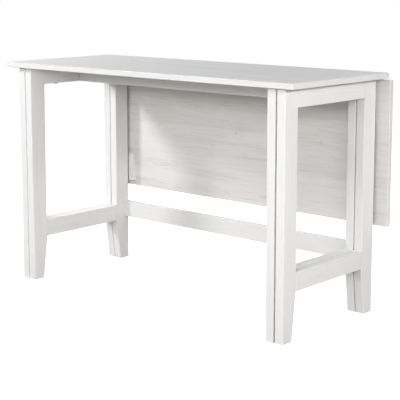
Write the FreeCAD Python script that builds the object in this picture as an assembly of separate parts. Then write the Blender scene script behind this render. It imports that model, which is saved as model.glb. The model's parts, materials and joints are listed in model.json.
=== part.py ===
import FreeCAD, Part
import math
import os
from collections import defaultdict

# A dining table with one leaf that hangs at the back and two end gates that swing out to carry it.
# X runs along the table, Y from front to back and Z up. The origin is on the floor, under the middle
# of the table as it stands with the leaf down. Lengths are in millimetres and angles in degrees.

V = FreeCAD.Vector
X = V(1, 0, 0)
Y = V(0, 1, 0)
Z = V(0, 0, 1)
SIDES = {"left": -1, "right": 1}
TINY = 0.001

# Tabletop and leaf
table_height = 750.0
top_length = 1220.0
top_depth = 484.0
panel_thickness = 18.0
panel_corner_radius = 4.0
panel_edge_radius = 2.5
leaf_width = 454.0
leaf_joint_gap = 2.0
leaf_hinge_drop = 5.0
end_overhang = 42.0
front_overhang = 20.0
rear_overhang = 8.0

# Shallow round recesses in the leaf's inner face
leaf_recess_spacing = 356.0
leaf_recess_from_hinge_edge = 216.0
leaf_recess_radius = 6.0
leaf_recess_depth = 0.8

# Wood left over the blind holes in the tabletop and the leaf, and the room at their ends
panel_skin = 5.0
blind_end_room = 0.5

# Blocks on the leaf that stop the opened gates
stop_width = 25.0
stop_length = 101.0
stop_thickness = 12.0
stop_from_free_edge = 18.0
stop_clearance = 1.0
stop_edge_radius = 1.5

# End frames: a pair of fixed ones, and the gates outside them
leg_thickness = 29.2
leg_depth = 60.0
foot_taper = 17.0
leg_edge_radius = 2.5
taper_below_stretcher = 8.0
rail_height = 58.0
rail_edge_radius = 2.0
rail_end_chamfer = 1.0
stretcher_above_floor = 145.0
gate_gap = 2.6
gate_top_clearance = 2.5
right_gate_ajar = 0.3

# Rails that join the two fixed end frames
long_rail_thickness = 20.0
low_rail_above_floor = 157.0

# Wooden dowels
dowel_radius = 4.0
dowel_length = 40.0
dowel_from_rail_edge = 13.0
dowel_fit = 0.05
dowel_end_room = 1.0

# Bolts and cross nuts in the ends of the long rails
bolt_radius = 3.0
bolt_bore_radius = 3.25
bolt_head_radius = 6.5
bolt_head_height = 4.0
bolt_head_sink = 5.0
bolt_head_room = 0.5
bolt_past_nut = 9.0
nut_radius = 5.0
nut_wall_left = 5.0
nut_from_joint = 30.0
nut_fit = 0.05
socket_across_flats = 4.0
socket_depth = 2.5

# Bolts that hold the tabletop on the fixed top rails
top_bolt_from_leg = 63.0
top_bolt_head_radius = 8.0
top_bolt_head_height = 3.5
top_bolt_head_edge_radius = 1.2
insert_radius = 5.0

# Countersunk wood screws
screw_radius = 1.75
screw_head_radius = 3.5
gate_screw_length = 16.0
screw_tip_length = 4.0
screw_tip_radius = 0.4
screw_fit = 0.1
recess_width = 0.9
recess_length = 3.6
recess_depth = 1.2

# Hinges
knuckle_count = 5
knuckle_play = 0.4
notch_play = 0.5
barrel_play = 0.5
pin_fit = 0.05
pin_head_height = 1.2
pin_head_overlap = 1.0
hinge_screw_margin = 10.0
hinge_screw_stagger = 4.0
gate_hinge_length = 60.0
gate_hinge_width = 24.0
gate_hinge_play = 0.6
gate_hinge_barrel_radius = 4.5
gate_hinge_pin_radius = 2.4
gate_hinge_inset = 80.0
leaf_hinge_length = 64.0
leaf_hinge_width = 34.0
leaf_hinge_plate_thickness = 2.0
leaf_hinge_pin_radius = 2.2
leaf_hinge_inset = 107.0

# Places along Y
leaf_offset = leaf_joint_gap / 2 + leaf_hinge_drop
overall_depth = top_depth + leaf_offset + panel_thickness
top_front_y = -overall_depth / 2
top_rear_y = top_front_y + top_depth
frame_front_y = top_front_y + front_overhang
frame_rear_y = top_rear_y - rear_overhang
frame_middle_y = (frame_front_y + frame_rear_y) / 2
leaf_axis_y = top_rear_y + leaf_joint_gap / 2
leaf_front_y = top_rear_y + leaf_offset
leaf_rear_y = leaf_front_y + panel_thickness
gate_axis_y = frame_rear_y + gate_hinge_barrel_radius + barrel_play

# Places along Z
underside_z = table_height - panel_thickness
gate_top_z = underside_z - gate_top_clearance
top_rail_z = underside_z - rail_height
stretcher_top_z = stretcher_above_floor + rail_height
taper_start_z = stretcher_above_floor - taper_below_stretcher
low_rail_top_z = low_rail_above_floor + rail_height
leaf_axis_z = underside_z - leaf_hinge_drop
leaf_top_z = leaf_axis_z - leaf_joint_gap / 2
leaf_bottom_z = leaf_top_z - leaf_width

# Depths of what is let into the tabletop and the leaf, and the half distance between a pair of dowels
panel_fixing_depth = panel_thickness - panel_skin - blind_end_room
leaf_screw_length = leaf_hinge_plate_thickness + panel_fixing_depth
dowel_offset = rail_height / 2 - dowel_from_rail_edge

# Places along X, counted from the middle towards either end
half_length = top_length / 2
gate_outer_x = half_length - end_overhang
gate_inner_x = gate_outer_x - leg_thickness
fixed_outer_x = gate_inner_x - gate_gap
fixed_inner_x = fixed_outer_x - leg_thickness
gate_axis_x = fixed_outer_x + gate_gap / 2

pieces = {}
holes = defaultdict(list)


def span(a, b):
    return min(a, b), max(a, b)


def block(x, y, z):
    return Part.makeBox(x[1] - x[0], y[1] - y[0], z[1] - z[0], V(x[0], y[0], z[0]))


def directed_block(center, *reaches):
    """A box whose sides are given as (direction, low, high) from its center."""
    low = V(center)
    high = V(center)
    for direction, start, end in reaches:
        low = low + direction * start
        high = high + direction * end
    return block(span(low.x, high.x), span(low.y, high.y), span(low.z, high.z))


def rod(start, end, radius):
    return Part.makeCylinder(radius, (end - start).Length, start, end - start)


def edges_along(shape, direction):
    straight = [edge for edge in shape.Edges if isinstance(edge.Curve, Part.Line)]
    return [edge for edge in straight if abs(edge.tangentAt(edge.FirstParameter).dot(direction)) > 1 - TINY]


def thickness_of(edge, direction):
    box = edge.BoundBox
    return V(box.XLength, box.YLength, box.ZLength).dot(direction)


def merged(solids):
    return solids[0].multiFuse(solids[1:]).removeSplitter()


def hex_socket(mouth, into):
    across = V(into.z, into.x, into.y)
    other = into.cross(across)
    reach = socket_across_flats / math.sqrt(3)
    corners = []
    for step in range(7):
        turn = math.radians(60 * step)
        corners.append(mouth + across * (reach * math.cos(turn)) + other * (reach * math.sin(turn)))
    return Part.Face(Part.makePolygon(corners)).extrude(into * socket_depth)


def eased_panel(x, y, z, thin):
    """A board with rounded corners and rims; thin is the direction of its thickness."""
    board = block(x, y, z)
    board = board.makeFillet(panel_corner_radius, edges_along(board, thin))
    rims = [edge for edge in board.Edges if thickness_of(edge, thin) < TINY]
    return board.makeFillet(panel_edge_radius, rims)


def make_panels():
    length = (-half_length, half_length)
    depth = (top_front_y, top_rear_y)
    height = (underside_z, table_height)
    pieces["tabletop"] = eased_panel(length, depth, height, Z)
    hanging = (leaf_bottom_z, leaf_top_z)
    thickness = (leaf_front_y, leaf_rear_y)
    pieces["leaf_panel"] = eased_panel(length, thickness, hanging, Y)
    for place in (-1, 0, 1):
        mouth = V(place * leaf_recess_spacing, leaf_front_y, leaf_top_z - leaf_recess_from_hinge_edge)
        holes["leaf_panel"].append(rod(mouth, mouth + Y * leaf_recess_depth, leaf_recess_radius))


def make_leaf_stops():
    outer_x = fixed_inner_x - stop_clearance
    bottom_z = leaf_bottom_z + stop_from_free_edge
    for name, side in SIDES.items():
        x = span(side * outer_x, side * (outer_x - stop_width))
        y = (leaf_front_y - stop_thickness, leaf_front_y)
        stop = block(x, y, (bottom_z, bottom_z + stop_length))
        shown = [edge for edge in stop.Edges if edge.BoundBox.YMax < leaf_front_y - TINY]
        pieces[name + "_leaf_stop"] = stop.makeFillet(stop_edge_radius, shown)


def leg_length(x, outer_y, inner_y, bottom_z, top_z, rounded_all):
    """A straight length of leg. Where a rail joins it, the edges beside the rail stay square."""
    post = block(x, span(outer_y, inner_y), (bottom_z, top_z))
    upright = edges_along(post, Z)
    free = [edge for edge in upright if rounded_all or abs(edge.CenterOfMass.y - outer_y) < TINY]
    return post.makeFillet(leg_edge_radius, free)


def leg_foot(x, outer_y, inner_y, foot_y):
    outline = [V(x[0], outer_y, 0), V(x[0], outer_y, taper_start_z),
               V(x[0], inner_y, taper_start_z), V(x[0], foot_y, 0), V(x[0], outer_y, 0)]
    foot = Part.Face(Part.makePolygon(outline)).extrude(V(x[1] - x[0], 0, 0))
    long_edges = [edge for edge in foot.Edges if edge.BoundBox.ZLength > taper_start_z / 2]
    return foot.makeFillet(leg_edge_radius, long_edges)


def make_leg(x, outer_y, inward, top_z):
    """A leg with a straight outer face, tapered on its inner face from below the stretcher."""
    inner_y = outer_y + inward * leg_depth
    foot_y = outer_y + inward * (leg_depth - foot_taper)
    return merged([leg_foot(x, outer_y, inner_y, foot_y),
                   leg_length(x, outer_y, inner_y, taper_start_z, stretcher_top_z, False),
                   leg_length(x, outer_y, inner_y, stretcher_top_z, top_rail_z, True),
                   leg_length(x, outer_y, inner_y, top_rail_z, top_z, False)])


def make_rail(x, y, z, along, square_top=False):
    """A rail with rounded long edges, and chamfered ends that leave a fine groove at each joint."""
    bar = block(x, y, z)
    long_edges = edges_along(bar, along)
    rounded = [edge for edge in long_edges if not square_top or edge.CenterOfMass.z < z[1] - TINY]
    bar = bar.makeFillet(rail_edge_radius, rounded)
    rims = [edge for edge in bar.Edges if thickness_of(edge, along) < TINY]
    return bar.makeChamfer(rail_end_chamfer, rims)


def dowel(middle, along, seat, holders, group):
    """A dowel that reaches seat deep along its direction, and the rest of its length the other way."""
    start = middle + along * (seat - dowel_length)
    end = middle + along * seat
    group.append(rod(start, end, dowel_radius))
    bore = rod(start - along * dowel_end_room, end + along * dowel_end_room, dowel_radius + dowel_fit)
    for holder in holders:
        holes[holder].append(bore)


def make_end_frame(prefix, x, top_z, square_top, dowels):
    rail_y = (frame_front_y + leg_depth, frame_rear_y - leg_depth)
    pieces[prefix + "front_leg"] = make_leg(x, frame_front_y, 1, top_z)
    pieces[prefix + "rear_leg"] = make_leg(x, frame_rear_y, -1, top_z)
    heights = {"top_rail": (top_rail_z, top_z), "stretcher": (stretcher_above_floor, stretcher_top_z)}
    for name, z in heights.items():
        bare_top = square_top and name == "top_rail"
        pieces[prefix + name] = make_rail(x, rail_y, z, Y, bare_top)
        for leg, joint_y in (("front_leg", rail_y[0]), ("rear_leg", rail_y[1])):
            for offset in (-dowel_offset, dowel_offset):
                middle = V(sum(x) / 2, joint_y, sum(z) / 2 + offset)
                dowel(middle, Y, dowel_length / 2, (prefix + name, prefix + leg), dowels)


def make_rail_bolt(joint, outward, rail, holder, bolts, nuts):
    """A bolt from the outer side of a fixed frame into a cross nut in the end of a long rail."""
    outer_face = joint + outward * leg_thickness
    seat = outer_face - outward * bolt_head_sink
    nut_middle = joint - outward * nut_from_joint
    tip = nut_middle - outward * bolt_past_nut
    head_top = seat + outward * bolt_head_height
    head = rod(seat, head_top, bolt_head_radius)
    shank = rod(tip, seat, bolt_radius)
    bolts.append(head.fuse(shank).cut(hex_socket(head_top, -outward)))
    bore = rod(tip - outward * blind_end_room, seat, bolt_bore_radius)
    holes[holder] += [bore, rod(seat, outer_face, bolt_head_radius + bolt_head_room)]
    rear = nut_middle + Y * (long_rail_thickness / 2)
    front = rear - Y * (long_rail_thickness - nut_wall_left)
    holes[rail] += [bore, rod(front, rear, nut_radius + nut_fit)]
    nuts.append(rod(front, rear, nut_radius).cut(rod(tip, joint, bolt_radius + nut_fit)))


def make_long_rails(dowels):
    half_thickness = long_rail_thickness / 2
    low_y = frame_rear_y - half_thickness
    rails = {"upper_long_rail": (frame_middle_y, (top_rail_z, underside_z), "_top_rail", True),
             "lower_long_rail": (low_y, (low_rail_above_floor, low_rail_top_z), "_rear_leg", False)}
    bolts = []
    nuts = []
    for rail, (y, z, holder, square_top) in rails.items():
        length = (-fixed_inner_x, fixed_inner_x)
        pieces[rail] = make_rail(length, (y - half_thickness, y + half_thickness), z, X, square_top)
        for name, side in SIDES.items():
            joint = V(side * fixed_inner_x, y, sum(z) / 2)
            outward = X * side
            make_rail_bolt(joint, outward, rail, name + holder, bolts, nuts)
            for offset in (-dowel_offset, dowel_offset):
                middle = joint + Z * offset
                dowel(middle, outward, leg_thickness / 2, (rail, name + holder), dowels)
    pieces["long_rail_bolts"] = Part.makeCompound(bolts)
    pieces["long_rail_nuts"] = Part.makeCompound(nuts)


def make_top_bolt(x, y):
    """A bolt up through a fixed top rail, and the threaded insert that it holds in the tabletop."""
    seat = V(x, y, top_rail_z)
    head_end = seat - Z * top_bolt_head_height
    head = rod(head_end, seat, top_bolt_head_radius)
    rim = [edge for edge in head.Edges if edge.BoundBox.ZMax < top_rail_z - TINY]
    head = head.makeFillet(top_bolt_head_edge_radius, rim)
    insert_bottom = V(x, y, underside_z)
    insert_top = insert_bottom + Z * panel_fixing_depth
    bolt = head.fuse(rod(seat, insert_top, bolt_radius)).cut(hex_socket(head_end, Z))
    bore = rod(insert_bottom, insert_top + Z * blind_end_room, insert_radius + nut_fit)
    holes["tabletop"].append(bore)
    insert = rod(insert_bottom, insert_top, insert_radius)
    return bolt, insert.cut(rod(insert_bottom, insert_top, bolt_radius + nut_fit))


def make_top_bolts():
    bolts = []
    inserts = []
    for name, side in SIDES.items():
        x = side * (fixed_inner_x + leg_thickness / 2)
        from_end = leg_depth + top_bolt_from_leg
        for y in (frame_front_y + from_end, frame_rear_y - from_end):
            bolt, insert = make_top_bolt(x, y)
            bolts.append(bolt)
            inserts.append(insert)
            holes[name + "_top_rail"].append(rod(V(x, y, top_rail_z), V(x, y, underside_z), bolt_bore_radius))
    pieces["top_fixing_bolts"] = Part.makeCompound(bolts)
    pieces["top_inserts"] = Part.makeCompound(inserts)


def screw(mouth, into, across, length):
    """A countersunk wood screw with a cross recess; mouth is the middle of its flat head."""
    head_depth = screw_head_radius - screw_radius
    neck = mouth + into * head_depth
    shoulder = mouth + into * (length - screw_tip_length)
    head = Part.makeCone(screw_head_radius, screw_radius, head_depth, mouth, into)
    tip = Part.makeCone(screw_radius, screw_tip_radius, screw_tip_length, shoulder, into)
    body = head.multiFuse([rod(neck, shoulder, screw_radius), tip])
    other = into.cross(across)
    for long_way, short_way in ((across, other), (other, across)):
        slot = directed_block(mouth, (long_way, -recess_length / 2, recess_length / 2),
                              (short_way, -recess_width / 2, recess_width / 2), (into, 0, recess_depth))
        body = body.cut(slot)
    return body


def screw_hole(mouth, into, length):
    head_depth = screw_head_radius - screw_radius
    end = mouth + into * (length + blind_end_room)
    sink = Part.makeCone(screw_head_radius + screw_fit, screw_radius + screw_fit, head_depth, mouth, into)
    return sink.fuse(rod(mouth + into * head_depth, end, screw_radius + screw_fit))


def knuckles(length):
    """The barrel's knuckles as (start, end) distances from its middle, in two sets that take turns."""
    each = (length - knuckle_play * (knuckle_count - 1)) / knuckle_count
    starts = [-length / 2 + index * (each + knuckle_play) for index in range(knuckle_count)]
    ends = [(start, start + each) for start in starts]
    return ends[0::2], ends[1::2]


def hinge_plate(middle, along, reach, wood, size, own, others):
    """One hinge plate with its knuckles, its screws and the holes that they need in the wood."""
    half = size["length"] / 2
    face = size["seat"] - size["thickness"]
    depth = (wood, face, size["seat"])
    plate = directed_block(middle, (along, -half, half), (reach, 0, size["reach"]), depth)
    radius = size["barrel_radius"]
    for start, end in others:
        notch = directed_block(middle, (along, start - knuckle_play, end + knuckle_play),
                               (reach, 0, radius + notch_play), depth)
        plate = plate.cut(notch)
    barrel = [rod(middle + along * start, middle + along * end, radius) for start, end in own]
    bore = rod(middle - along * size["length"], middle + along * size["length"], size["pin_radius"] + pin_fit)
    plate = merged([plate] + barrel).cut(bore)
    screws = []
    screw_holes = []
    row = (size["wood_edge"] + size["reach"]) / 2
    for place in (-1, 0, 1):
        across = row - hinge_screw_stagger * (1 - 2 * abs(place))
        mouth = middle + along * (place * (half - hinge_screw_margin)) + reach * across + wood * face
        screws.append(screw(mouth, wood, along, size["screw_length"]))
        screw_holes.append(screw_hole(mouth, wood, size["screw_length"]))
    return plate.cut(Part.makeCompound(screw_holes)), screws, screw_holes


def hinge_pin(middle, along, size):
    half = size["length"] / 2
    radius = size["pin_radius"]
    pin = [rod(middle - along * half, middle + along * half, radius)]
    for way in (-1, 1):
        end = middle + along * (way * half)
        pin.append(rod(end, end + along * (way * pin_head_height), radius + pin_head_overlap))
    return merged(pin)


def make_hinge(name, middle, along, size, still, moving):
    """A butt hinge. still and moving are (plate name, way across it, way to its wood, wood node, screws)."""
    first, second = knuckles(size["length"])
    for arm, own, others in ((still, first, second), (moving, second, first)):
        plate_name, reach, wood, node, screws = arm
        plate, plate_screws, screw_holes = hinge_plate(middle, along, reach, wood, size, own, others)
        pieces[name + plate_name] = plate
        screws += plate_screws
        holes[node] += screw_holes
    pieces[name + "_pin"] = hinge_pin(middle, along, size)


def make_gate_hinges():
    size = {"length": gate_hinge_length, "seat": gate_gap / 2, "thickness": (gate_gap - gate_hinge_play) / 2,
            "barrel_radius": gate_hinge_barrel_radius, "pin_radius": gate_hinge_pin_radius,
            "wood_edge": gate_axis_y - frame_rear_y, "reach": gate_axis_y - frame_rear_y + gate_hinge_width,
            "screw_length": gate_screw_length}
    heights = {"upper": top_rail_z - gate_hinge_inset, "lower": stretcher_top_z + gate_hinge_inset}
    fixed_screws = []
    for name, side in SIDES.items():
        gate_screws = []
        for level, z in heights.items():
            middle = V(side * gate_axis_x, gate_axis_y, z)
            still = ("_fixed_plate", -Y, X * -side, name + "_rear_leg", fixed_screws)
            moving = ("_gate_plate", -Y, X * side, name + "_gate_rear_leg", gate_screws)
            make_hinge(name + "_gate_hinge_" + level, middle, Z, size, still, moving)
        pieces[name + "_gate_hinge_screws"] = Part.makeCompound(gate_screws)
    pieces["gate_hinge_fixed_screws"] = Part.makeCompound(fixed_screws)


def make_leaf_hinges():
    size = {"length": leaf_hinge_length, "seat": leaf_hinge_drop, "thickness": leaf_hinge_plate_thickness,
            "barrel_radius": leaf_hinge_drop - barrel_play, "pin_radius": leaf_hinge_pin_radius,
            "wood_edge": leaf_joint_gap / 2, "reach": leaf_hinge_width, "screw_length": leaf_screw_length}
    outer_x = fixed_inner_x - leaf_hinge_inset
    top_screws = []
    leaf_screws = []
    for name, x in (("left", -outer_x), ("middle", 0), ("right", outer_x)):
        middle = V(x, leaf_axis_y, leaf_axis_z)
        still = ("_top_plate", -Y, Z, "tabletop", top_screws)
        moving = ("_leaf_plate", -Z, Y, "leaf_panel", leaf_screws)
        make_hinge("leaf_hinge_" + name, middle, X, size, still, moving)
    pieces["leaf_hinge_top_screws"] = Part.makeCompound(top_screws)
    pieces["leaf_hinge_leaf_screws"] = Part.makeCompound(leaf_screws)


def make_frames():
    fixed_dowels = []
    for name, side in SIDES.items():
        fixed_x = span(side * fixed_inner_x, side * fixed_outer_x)
        make_end_frame(name + "_", fixed_x, underside_z, True, fixed_dowels)
        gate_dowels = []
        gate_x = span(side * gate_inner_x, side * gate_outer_x)
        make_end_frame(name + "_gate_", gate_x, gate_top_z, False, gate_dowels)
        pieces[name + "_gate_dowels"] = Part.makeCompound(gate_dowels)
    make_long_rails(fixed_dowels)
    pieces["frame_dowels"] = Part.makeCompound(fixed_dowels)


def swings_with_right_gate(node):
    return node.startswith("right_gate_") and not node.endswith(("_fixed_plate", "_pin"))


make_panels()
make_leaf_stops()
make_frames()
make_top_bolts()
make_gate_hinges()
make_leaf_hinges()

os.makedirs("parts", exist_ok=True)
for node, shape in pieces.items():
    if holes[node]:
        shape = shape.cut(Part.makeCompound(holes[node]))
    if swings_with_right_gate(node):
        shape = shape.rotated(V(gate_axis_x, gate_axis_y, 0), Z, right_gate_ajar)
    shape.exportStep("parts/" + node + ".step")
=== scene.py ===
import json
import math

import bpy
from mathutils import Euler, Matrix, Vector


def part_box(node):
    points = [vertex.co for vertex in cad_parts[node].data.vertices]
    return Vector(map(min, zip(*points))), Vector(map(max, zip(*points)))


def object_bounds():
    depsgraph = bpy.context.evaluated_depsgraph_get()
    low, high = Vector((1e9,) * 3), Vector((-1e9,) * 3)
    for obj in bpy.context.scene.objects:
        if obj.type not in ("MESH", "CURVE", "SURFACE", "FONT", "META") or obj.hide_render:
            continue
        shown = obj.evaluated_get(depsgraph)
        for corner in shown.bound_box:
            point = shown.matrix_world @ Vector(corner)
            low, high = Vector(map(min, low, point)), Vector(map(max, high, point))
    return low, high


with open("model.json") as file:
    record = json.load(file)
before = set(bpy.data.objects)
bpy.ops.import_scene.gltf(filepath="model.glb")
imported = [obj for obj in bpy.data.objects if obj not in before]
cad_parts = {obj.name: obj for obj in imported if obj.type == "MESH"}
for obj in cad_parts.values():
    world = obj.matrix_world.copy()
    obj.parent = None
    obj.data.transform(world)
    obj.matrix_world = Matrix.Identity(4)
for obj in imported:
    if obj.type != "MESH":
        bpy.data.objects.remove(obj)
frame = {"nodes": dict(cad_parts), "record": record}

cad_box = [list(corner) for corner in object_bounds()]

# Camera: it looks at a point near the middle of the table, in metres and degrees
CAMERA_AZIMUTH = 41.705
CAMERA_PITCH = 8.513
CAMERA_DISTANCE = 3.755
AIM_RIGHT = 0.0357
AIM_UP = 0.1084
FOCAL_LENGTH_MM = 103.37
SENSOR_MM = 36.0
VERTICAL_SHIFT = -0.13

# Light, in metres and watts: a round key lamp high at the left front, softboxes all round, and panels
# that wash the floor. A softbox stands "turn" degrees round the table, from its front towards its right,
# and "rise" degrees up.
KEY_PLACE = (-1.908, -1.758, 1.958)
KEY_AIM = (-0.33, 0.236, 0.43)
KEY_WIDTH = 0.55
KEY_POWER = 50.1
KEY_COLOUR = (0.97, 0.99, 1.0)
SOFTBOX_DISTANCE = 3.4
SOFTBOX_AIM = (0.0, 0.0, 0.6)
SOFTBOX_COLOUR = (1.0, 1.0, 1.0)
SOFTBOXES = {
    "front": {"turn": 10, "rise": 15, "size": (1.4, 0.5), "power": 37.2},
    "front_right": {"turn": 40, "rise": 15, "size": (1.4, 0.5), "power": 27.7},
    "right": {"turn": 70, "rise": 15, "size": (1.4, 0.25), "power": 26.1},
    "far_right": {"turn": 88, "rise": 15, "size": (1.4, 0.25), "power": 27.1},
    "back": {"turn": 180, "rise": 25, "size": (1.2, 1.2), "power": 60.3},
    "left": {"turn": -120, "rise": 40, "size": (1.2, 1.2), "power": 29.0},
}
FLOOR_WASH_HEIGHT = 0.9
FLOOR_WASH_WIDTH = 1.0
FLOOR_WASHES = {
    "left": {"place": (-1.7, 0.0), "power": 16.2},
    "front": {"place": (0.3, -1.3), "power": 4.8},
    "right": {"place": (1.7, 0.0), "power": 5.8},
}

# Floor and backdrop: the camera sees them as white, and the floor throws back a duller light
FLOOR_HALF_WIDTH = 30.0
FLOOR_DROP = 0.0005
FLOOR_COLOUR = (0.475, 0.45, 0.43, 1.0)
FLOOR_ROUGHNESS = 0.9
BACKDROP_COLOUR = (1.0, 1.0, 1.0, 1.0)
BACKDROP_STRENGTH = 1.0

# Noise in the finishes is drawn out along one axis: "along" and "across" are its waves to the metre.
# A range is the part of the noise that is stretched from none to full.
X_AXIS, Y_AXIS, Z_AXIS = range(3)
FULL_RANGE = (0.0, 1.0)

# Lacquered wood, in linear colours: bands, streaks and pores darken the paint by their shares
WHITE_PAINT = (0.72, 0.72, 0.72, 1.0)
# The leaf's paint is the white paint made a little darker and warmer: painted warm shade for the warm fill
# light on the leaf
WARM_SHADED_LEAF_PAINT = (0.70, 0.687, 0.677, 1.0)
# The grain's dark colour, which also serves as the painted shade in the leaf's recesses
GRAIN_AND_PAINTED_SHADE = (0.40, 0.375, 0.35, 1.0)
BANDS = {"along": 2.0, "across": 22.0, "detail": 3.0}
BAND_RANGE = (0.35, 0.65)
BAND_SHARE = 0.2
STREAKS = {"along": 5.0, "across": 95.0, "detail": 3.0, "distortion": 0.3}
STREAK_RANGE = (0.45, 0.75)
STREAK_SHARE = 0.3
PORES = {"along": 13.0, "across": 200.0, "detail": 2.0}
PORE_RANGE = (0.54, 0.74)
PORE_SHARE = 0.5
PORES_OUTSIDE_BANDS = 0.3
PORE_HEIGHT = -0.6
FIBRES = {"along": 16.0, "across": 900.0, "detail": 2.0}
FIBRE_HEIGHT = 0.5
LACQUER_ROUGHNESS = (0.68, 0.8)
LACQUER_BUMP = 0.5
TOP_GRAIN = {"contrast": 0.34, "relief": 0.00012}
LEAF_GRAIN = {"contrast": 0.60, "relief": 0.00012}
FRAME_GRAIN = {"contrast": 0.18, "relief": 0.0001}

# Round recesses in the leaf's inner face get painted shade, which fades out between two shares of their
# radius
RECESS_SPACING = 0.356
RECESS_FROM_HINGE_EDGE = 0.216
RECESS_RADIUS = 0.006
RECESS_SHADE_FADE = (0.8, 1.05)
RECESS_PAINTED_SHADE = 0.25

# Plated steel
HINGE_STEEL = (0.60, 0.59, 0.57, 1.0)
HINGE_ROUGHNESS = (0.26, 0.46)
FASTENER_STEEL = (0.66, 0.65, 0.62, 1.0)
FASTENER_ROUGHNESS = (0.22, 0.42)
BRUSH_MARKS = {"along": 60.0, "across": 1800.0, "detail": 3.0}
BRUSH_RANGE = (0.2, 0.8)
CLOUDS = {"along": 90.0, "across": 90.0, "detail": 3.0}
CLOUD_SHADE = 0.72
STEEL_BUMP = 0.25
STEEL_RELIEF = 0.00005

# Bare beech
BEECH = (0.56, 0.38, 0.22, 1.0)
BEECH_FLECK = (0.40, 0.25, 0.13, 1.0)
BEECH_ROUGHNESS = 0.7
FLECKS = {"along": 60.0, "across": 700.0, "detail": 3.0}
FLECK_RANGE = (0.35, 0.7)
BEECH_BUMP = 0.3
BEECH_RELIEF = 0.0001

# Numbers of the Mix node's colour sockets, which share their names with its other sockets
MIX_SHARE, MIX_FIRST, MIX_SECOND = 0, 6, 7
MIX_RESULT = 2


def fill_inputs(tree, target, inputs):
    """Sets a node's inputs, by name or number, to values or to other nodes' outputs."""
    for name, value in inputs.items():
        if isinstance(value, bpy.types.NodeSocket):
            tree.links.new(value, target.inputs[name])
        else:
            target.inputs[name].default_value = value


def node(tree, kind, inputs=None, **settings):
    """Adds a shader node with these inputs and settings."""
    made = tree.nodes.new(kind)
    for name, value in settings.items():
        setattr(made, name, value)
    fill_inputs(tree, made, inputs or {})
    return made


def new_material(name):
    material = bpy.data.materials.new(name)
    material.use_nodes = True
    return material, material.node_tree, material.node_tree.nodes["Principled BSDF"]


def object_coords(tree):
    return node(tree, "ShaderNodeTexCoord").outputs["Object"]


def stretched_noise(tree, coords, axis, along, across, detail, distortion=0.0):
    scale = [across] * 3
    scale[axis] = along
    mapped = node(tree, "ShaderNodeMapping", {"Vector": coords, "Scale": scale})
    inputs = {"Vector": mapped.outputs[0], "Scale": 1.0, "Detail": detail, "Distortion": distortion}
    return node(tree, "ShaderNodeTexNoise", inputs).outputs["Fac"]


def math_node(tree, operation, *values):
    return node(tree, "ShaderNodeMath", dict(enumerate(values)), operation=operation).outputs[0]


def remapped(tree, value, from_range, to_range=FULL_RANGE):
    low, high = from_range
    to_low, to_high = to_range
    inputs = {"Value": value, "From Min": low, "From Max": high, "To Min": to_low, "To Max": to_high}
    return node(tree, "ShaderNodeMapRange", inputs, interpolation_type="SMOOTHSTEP").outputs[0]


def mixed_colour(tree, share, first, second):
    """The first colour where the share is 0, and the second where it is 1."""
    inputs = {MIX_SHARE: share, MIX_FIRST: first, MIX_SECOND: second}
    return node(tree, "ShaderNodeMix", inputs, data_type="RGBA").outputs[MIX_RESULT]


def bumped(tree, height, strength, relief):
    """The way the surface faces where a height of 1 stands out by the relief, in metres."""
    inputs = {"Height": height, "Strength": strength, "Distance": relief}
    return node(tree, "ShaderNodeBump", inputs).outputs[0]


def lacquered_wood(name, axis, paint, contrast, relief):
    """Pale lacquer over open grain that runs along one axis: soft bands, long streaks and gathered pores."""
    material, tree, shader = new_material(name)
    coords = object_coords(tree)
    bands = remapped(tree, stretched_noise(tree, coords, axis, **BANDS), BAND_RANGE)
    streaks = remapped(tree, stretched_noise(tree, coords, axis, **STREAKS), STREAK_RANGE)
    pores = remapped(tree, stretched_noise(tree, coords, axis, **PORES), PORE_RANGE)
    fibres = stretched_noise(tree, coords, axis, **FIBRES)
    density = math_node(tree, "MULTIPLY_ADD", bands, 1.0 - PORES_OUTSIDE_BANDS, PORES_OUTSIDE_BANDS)
    gathered = math_node(tree, "MULTIPLY", pores, density)
    grain = math_node(tree, "MULTIPLY", gathered, PORE_SHARE)
    grain = math_node(tree, "MULTIPLY_ADD", streaks, STREAK_SHARE, grain)
    grain = math_node(tree, "MULTIPLY_ADD", bands, BAND_SHARE, grain)
    tone = math_node(tree, "MULTIPLY", grain, contrast)
    height = math_node(tree, "MULTIPLY", pores, PORE_HEIGHT)
    height = math_node(tree, "MULTIPLY_ADD", fibres, FIBRE_HEIGHT, height)
    fill_inputs(tree, shader, {
        "Base Color": mixed_colour(tree, tone, paint, GRAIN_AND_PAINTED_SHADE),
        "Roughness": remapped(tree, grain, FULL_RANGE, LACQUER_ROUGHNESS),
        "Normal": bumped(tree, height, LACQUER_BUMP, relief),
    })
    return material


def paint_recess_shade(material):
    """Paints shade into the round recesses in the leaf's inner face, darkening them a little."""
    tree = material.node_tree
    paint = tree.nodes["Principled BSDF"].inputs["Base Color"]
    coords = object_coords(tree)
    low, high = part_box("leaf_panel")
    nearest = RECESS_SPACING
    for side in (-1, 0, 1):
        place = (side * RECESS_SPACING, low.y, high.z - RECESS_FROM_HINGE_EDGE)
        distance = node(tree, "ShaderNodeVectorMath", {0: coords, 1: place}, operation="DISTANCE")
        nearest = math_node(tree, "MINIMUM", nearest, distance.outputs["Value"])
    fade = [share * RECESS_RADIUS for share in RECESS_SHADE_FADE]
    # Painted shade: inside each recess the paint is mixed towards the dark grain colour
    tone = remapped(tree, nearest, fade, (RECESS_PAINTED_SHADE, 0.0))
    grained = paint.links[0].from_socket
    tree.links.new(mixed_colour(tree, tone, grained, GRAIN_AND_PAINTED_SHADE), paint)


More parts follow.
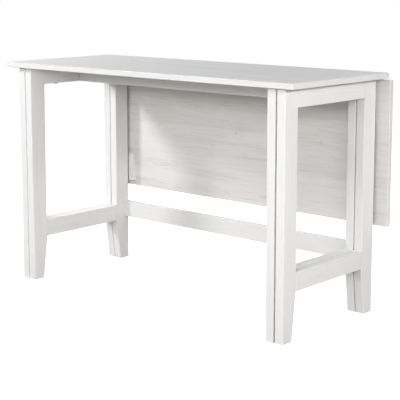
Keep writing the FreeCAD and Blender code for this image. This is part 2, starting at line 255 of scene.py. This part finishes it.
def brushed_steel(name, colour, roughness):
    """Plated steel with fine brush marks and slightly cloudy gloss."""
    material, tree, shader = new_material(name)
    coords = object_coords(tree)
    marks = stretched_noise(tree, coords, Z_AXIS, **BRUSH_MARKS)
    clouds = stretched_noise(tree, coords, Z_AXIS, **CLOUDS)
    shade = [CLOUD_SHADE * channel for channel in colour[:3]] + [1.0]
    fill_inputs(tree, shader, {
        "Base Color": mixed_colour(tree, clouds, colour, shade),
        "Metallic": 1.0,
        "Roughness": remapped(tree, marks, BRUSH_RANGE, roughness),
        "Normal": bumped(tree, marks, STEEL_BUMP, STEEL_RELIEF),
    })
    return material


def bare_wood(name):
    """Unpainted beech with short dark flecks, for the dowels."""
    material, tree, shader = new_material(name)
    flecks = stretched_noise(tree, object_coords(tree), Y_AXIS, **FLECKS)
    tone = remapped(tree, flecks, FLECK_RANGE)
    fill_inputs(tree, shader, {
        "Base Color": mixed_colour(tree, tone, BEECH, BEECH_FLECK),
        "Roughness": BEECH_ROUGHNESS,
        "Normal": bumped(tree, flecks, BEECH_BUMP, BEECH_RELIEF),
    })
    return material


def longest_axis(name):
    low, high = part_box(name)
    size = high - low
    return max(range(3), key=lambda axis: size[axis])


def dress():
    """Gives each CAD node the finish of its material slot; frame wood has its grain along each piece."""
    finishes = {
        "top_lacquer": lacquered_wood("top_lacquer", X_AXIS, WHITE_PAINT, **TOP_GRAIN),
        # The leaf's paint carries painted warm shade
        "leaf_lacquer": lacquered_wood("leaf_lacquer", X_AXIS, WARM_SHADED_LEAF_PAINT, **LEAF_GRAIN),
        "hinge_steel": brushed_steel("hinge_steel", HINGE_STEEL, HINGE_ROUGHNESS),
        "fastener_steel": brushed_steel("fastener_steel", FASTENER_STEEL, FASTENER_ROUGHNESS),
        "dowel_wood": bare_wood("dowel_wood"),
    }
    # Painted shade in the leaf's recesses
    paint_recess_shade(finishes["leaf_lacquer"])
    frame_finishes = []
    for axis, letter in enumerate("xyz"):
        frame_finishes.append(lacquered_wood("frame_lacquer_" + letter, axis, WHITE_PAINT, **FRAME_GRAIN))
    for piece in frame["record"]["subparts"]:
        name = piece["node"]
        mesh = frame["nodes"][name].data
        mesh.materials.clear()
        mesh.materials.append(finishes.get(piece["material_slot"]) or frame_finishes[longest_axis(name)])


def seen_only(tree, strength):
    """The strength of a glow that the camera sees and that lights nothing."""
    seen = node(tree, "ShaderNodeLightPath").outputs["Is Camera Ray"]
    return math_node(tree, "MULTIPLY", seen, strength)


def make_floor():
    """A wide pale floor just under the feet."""
    half = FLOOR_HALF_WIDTH
    corners = [(x * half, y * half, -FLOOR_DROP) for x, y in ((-1, -1), (1, -1), (1, 1), (-1, 1))]
    mesh = bpy.data.meshes.new("floor")
    mesh.from_pydata(corners, [], [(0, 1, 2, 3)])
    material, tree, shader = new_material("floor")
    fill_inputs(tree, shader, {
        "Base Color": FLOOR_COLOUR,
        "Roughness": FLOOR_ROUGHNESS,
        "Specular IOR Level": 0.0,
        "Emission Color": BACKDROP_COLOUR,
        "Emission Strength": seen_only(tree, BACKDROP_STRENGTH),
    })
    mesh.materials.append(material)
    floor = bpy.data.objects.new("floor", mesh)
    bpy.context.scene.collection.objects.link(floor)


def make_area_light(name, place, aim, shape, size, power, colour=SOFTBOX_COLOUR):
    light = bpy.data.lights.new(name, "AREA")
    light.shape = shape
    light.size, light.size_y = size
    light.energy = power
    light.color = colour
    lamp = bpy.data.objects.new(name, light)
    lamp.location = place
    lamp.rotation_euler = (Vector(aim) - Vector(place)).to_track_quat("-Z", "Y").to_euler()
    lamp.visible_camera = False
    bpy.context.scene.collection.objects.link(lamp)


def make_lights():
    key_size = (KEY_WIDTH, KEY_WIDTH)
    make_area_light("key", KEY_PLACE, KEY_AIM, "DISK", key_size, KEY_POWER, KEY_COLOUR)
    for name, box in SOFTBOXES.items():
        turn = math.radians(box["turn"])
        rise = math.radians(box["rise"])
        way = Vector((math.cos(rise) * math.sin(turn), -math.cos(rise) * math.cos(turn), math.sin(rise)))
        place = Vector(SOFTBOX_AIM) + way * SOFTBOX_DISTANCE
        make_area_light(name + "_softbox", place, SOFTBOX_AIM, "RECTANGLE", box["size"], box["power"])
    wash_size = (FLOOR_WASH_WIDTH, FLOOR_WASH_WIDTH)
    for name, wash in FLOOR_WASHES.items():
        place = (*wash["place"], FLOOR_WASH_HEIGHT)
        aim = (*wash["place"], 0.0)
        make_area_light(name + "_wash", place, aim, "SQUARE", wash_size, wash["power"])


def make_room():
    """A white backdrop that gives no light of its own."""
    world = bpy.data.worlds.new("room")
    world.use_nodes = True
    tree = world.node_tree
    glow = seen_only(tree, BACKDROP_STRENGTH)
    fill_inputs(tree, tree.nodes["Background"], {"Color": BACKDROP_COLOUR, "Strength": glow})
    bpy.context.scene.world = world


def make_camera():
    low, high = (Vector(corner) for corner in cad_box)
    turn = Euler((math.radians(90 - CAMERA_PITCH), 0, math.radians(CAMERA_AZIMUTH)))
    matrix = turn.to_matrix()
    right, up, back = matrix.col
    aim = (low + high) / 2 + right * AIM_RIGHT + up * AIM_UP
    data = bpy.data.cameras.new("camera")
    data.lens = FOCAL_LENGTH_MM
    data.sensor_width = SENSOR_MM
    data.shift_y = VERTICAL_SHIFT
    camera = bpy.data.objects.new("camera", data)
    camera.location = aim + back * CAMERA_DISTANCE
    camera.rotation_euler = turn
    bpy.context.scene.collection.objects.link(camera)
    bpy.context.scene.camera = camera


dress()
make_floor()
make_lights()
make_room()
make_camera()
bpy.context.scene.view_settings.view_transform = "Standard"
